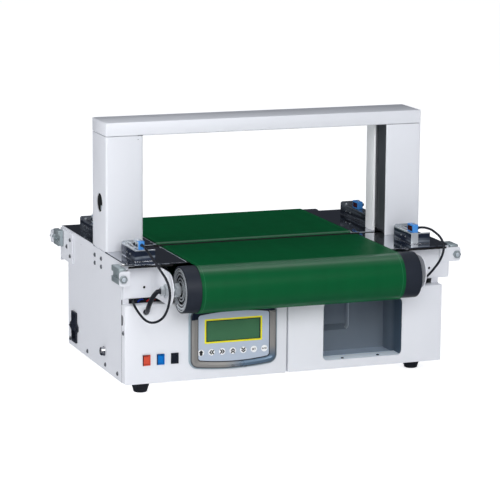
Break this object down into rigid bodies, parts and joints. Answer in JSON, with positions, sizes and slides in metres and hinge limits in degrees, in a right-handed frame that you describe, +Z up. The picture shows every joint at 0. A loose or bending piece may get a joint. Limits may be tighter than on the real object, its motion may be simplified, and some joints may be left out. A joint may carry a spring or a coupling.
{
  "type": "banknote strapping machine",
  "caption": "White sheet-metal banknote strapping machine with green conveyor belts over rubber drums, a strapping arch, a keypad with a display and rocker switches.",
  "frame": {"origin": "on the floor, in the middle of the footprint of the whole machine", "axes": "+X to the right as seen from the front, along the belts' width; +Y to the back; +Z up"},
  "size_m": [0.6771, 0.5598, 0.482],
  "materials": {
    "white_paint": "fine-textured powder coat, off-white with a cool tone",
    "black_plastic": "moulded black plastic",
    "blue_plastic": "moulded blue plastic",
    "display": "green display window",
    "shaft_steel": "bright turned steel",
    "belt_green": "green PVC belt, satin",
    "polished_steel": "mirror-polished stainless sheet",
    "drum_rubber": "matt blue-black rubber lagging, aluminium end discs",
    "foot_rubber": "matt black rubber",
    "sensor_blue": "blue sensor housing, dark red window",
    "zinc": "blasted zinc casting, plated bolt",
    "keycap_white": "white with black symbols",
    "bezel_grey": "moulded grey plastic",
    "membrane": "printed polyester skin, blue-grey",
    "cable_black": "black cable jacket",
    "red_plastic": "moulded red plastic",
    "head_grey": "grey painted sealing head",
    "socket_chrome": "chromed ring, black face",
    "guide_grey": "dark grey strap guide"
  },
  "bodies": {
    "machine": {"arch_left_post": "white_paint", "arch_right_post": "white_paint", "arch_top_bar": "white_paint", "base_chassis": "white_paint", "black_switch_housing": "black_plastic", "blue_switch_housing": "blue_plastic", "display_window": "display", "front_axle": "shaft_steel", "front_belt": "belt_green", "front_deck": "polished_steel", "front_left_cover": "white_paint", "front_left_foot": "foot_rubber", "front_left_sensor": "sensor_blue", "front_left_shoulder": "white_paint", "front_left_take_up": "zinc", "front_right_cover": "white_paint", "front_right_foot": "foot_rubber", "front_right_sensor": "sensor_blue", "front_right_shoulder": "white_paint", "front_right_take_up": "zinc", "keypad_bezel": "bezel_grey", "keypad_membrane": "membrane", "left_sensor_cable": "cable_black", "left_side_panel": "white_paint", "motor_cable": "cable_black", "power_inlet": "black_plastic", "rear_axle": "shaft_steel", "rear_belt": "belt_green", "rear_deck": "polished_steel", "rear_left_foot": "foot_rubber", "rear_left_sensor": "sensor_blue", "rear_left_shoulder": "white_paint", "rear_left_take_up": "zinc", "rear_right_foot": "foot_rubber", "rear_right_sensor": "sensor_blue", "rear_right_shoulder": "white_paint", "rear_right_take_up": "zinc", "red_switch_housing": "red_plastic", "right_frame_plate": "white_paint", "right_sensor_cable": "cable_black", "right_side_panel": "white_paint", "sealing_head": "head_grey", "signal_socket": "socket_chrome", "strap_guide": "guide_grey", "window_bay": "polished_steel"},
    "front_drum_body": {"front_drum": "drum_rubber"},
    "rear_drum_body": {"rear_drum": "drum_rubber"},
    "front_nose_body": {"front_nose_roller": "shaft_steel"},
    "rear_nose_body": {"rear_nose_roller": "shaft_steel"},
    "red_rocker_body": {"red_rocker": "red_plastic"},
    "blue_rocker_body": {"blue_rocker": "blue_plastic"},
    "black_rocker_body": {"black_rocker": "black_plastic"},
    "inlet_rocker_body": {"inlet_rocker": "black_plastic"},
    "key_1_body": {"key_1": "keycap_white"},
    "key_2_body": {"key_2": "keycap_white"},
    "key_3_body": {"key_3": "keycap_white"},
    "key_4_body": {"key_4": "keycap_white"},
    "key_5_body": {"key_5": "keycap_white"},
    "key_6_body": {"key_6": "keycap_white"},
    "key_7_body": {"key_7": "keycap_white"}
  },
  "joints": [
    {"name": "front_drum_spin", "type": "hinge", "parent": "machine", "child": "front_drum_body", "pos_m": [-0.01375, -0.236, 0.204], "axis": [1, 0, 0], "continuous": true},
    {"name": "rear_drum_spin", "type": "hinge", "parent": "machine", "child": "rear_drum_body", "pos_m": [-0.01375, 0.236, 0.204], "axis": [1, 0, 0], "continuous": true},
    {"name": "front_nose_spin", "type": "hinge", "parent": "machine", "child": "front_nose_body", "pos_m": [-0.01675, -0.05, 0.238], "axis": [1, 0, 0], "continuous": true},
    {"name": "rear_nose_spin", "type": "hinge", "parent": "machine", "child": "rear_nose_body", "pos_m": [-0.01675, -0.012, 0.238], "axis": [1, 0, 0], "continuous": true},
    {"name": "red_rocker_tip", "type": "hinge", "parent": "machine", "child": "red_rocker_body", "pos_m": [-0.28305, -0.182, 0.06785], "axis": [-1, 0, 0], "range_deg": [0, 16]},
    {"name": "blue_rocker_tip", "type": "hinge", "parent": "machine", "child": "blue_rocker_body", "pos_m": [-0.25655, -0.182, 0.06785], "axis": [-1, 0, 0], "range_deg": [0, 16]},
    {"name": "black_rocker_tip", "type": "hinge", "parent": "machine", "child": "black_rocker_body", "pos_m": [-0.23005, -0.182, 0.06785], "axis": [-1, 0, 0], "range_deg": [0, 16]},
    {"name": "inlet_rocker_tip", "type": "hinge", "parent": "machine", "child": "inlet_rocker_body", "pos_m": [-0.32435, 0.132, 0.0815], "axis": [0, 1, 0], "range_deg": [0, 16]},
    {"name": "key_1_press", "type": "slide", "parent": "machine", "child": "key_1_body", "axis": [0, 1, 0], "range_m": [0, 0.0005], "stiffness_N_per_m": 400},
    {"name": "key_2_press", "type": "slide", "parent": "machine", "child": "key_2_body", "axis": [0, 1, 0], "range_m": [0, 0.0005], "stiffness_N_per_m": 400},
    {"name": "key_3_press", "type": "slide", "parent": "machine", "child": "key_3_body", "axis": [0, 1, 0], "range_m": [0, 0.0005], "stiffness_N_per_m": 400},
    {"name": "key_4_press", "type": "slide", "parent": "machine", "child": "key_4_body", "axis": [0, 1, 0], "range_m": [0, 0.0005], "stiffness_N_per_m": 400},
    {"name": "key_5_press", "type": "slide", "parent": "machine", "child": "key_5_body", "axis": [0, 1, 0], "range_m": [0, 0.0005], "stiffness_N_per_m": 400},
    {"name": "key_6_press", "type": "slide", "parent": "machine", "child": "key_6_body", "axis": [0, 1, 0], "range_m": [0, 0.0005], "stiffness_N_per_m": 400},
    {"name": "key_7_press", "type": "slide", "parent": "machine", "child": "key_7_body", "axis": [0, 1, 0], "range_m": [0, 0.0005], "stiffness_N_per_m": 400}
  ],
  "couplings": [
    {"joint": "front_nose_spin", "follows": "front_drum_spin", "ratio": 5.25},
    {"joint": "rear_nose_spin", "follows": "rear_drum_spin", "ratio": 5.25}
  ]
}
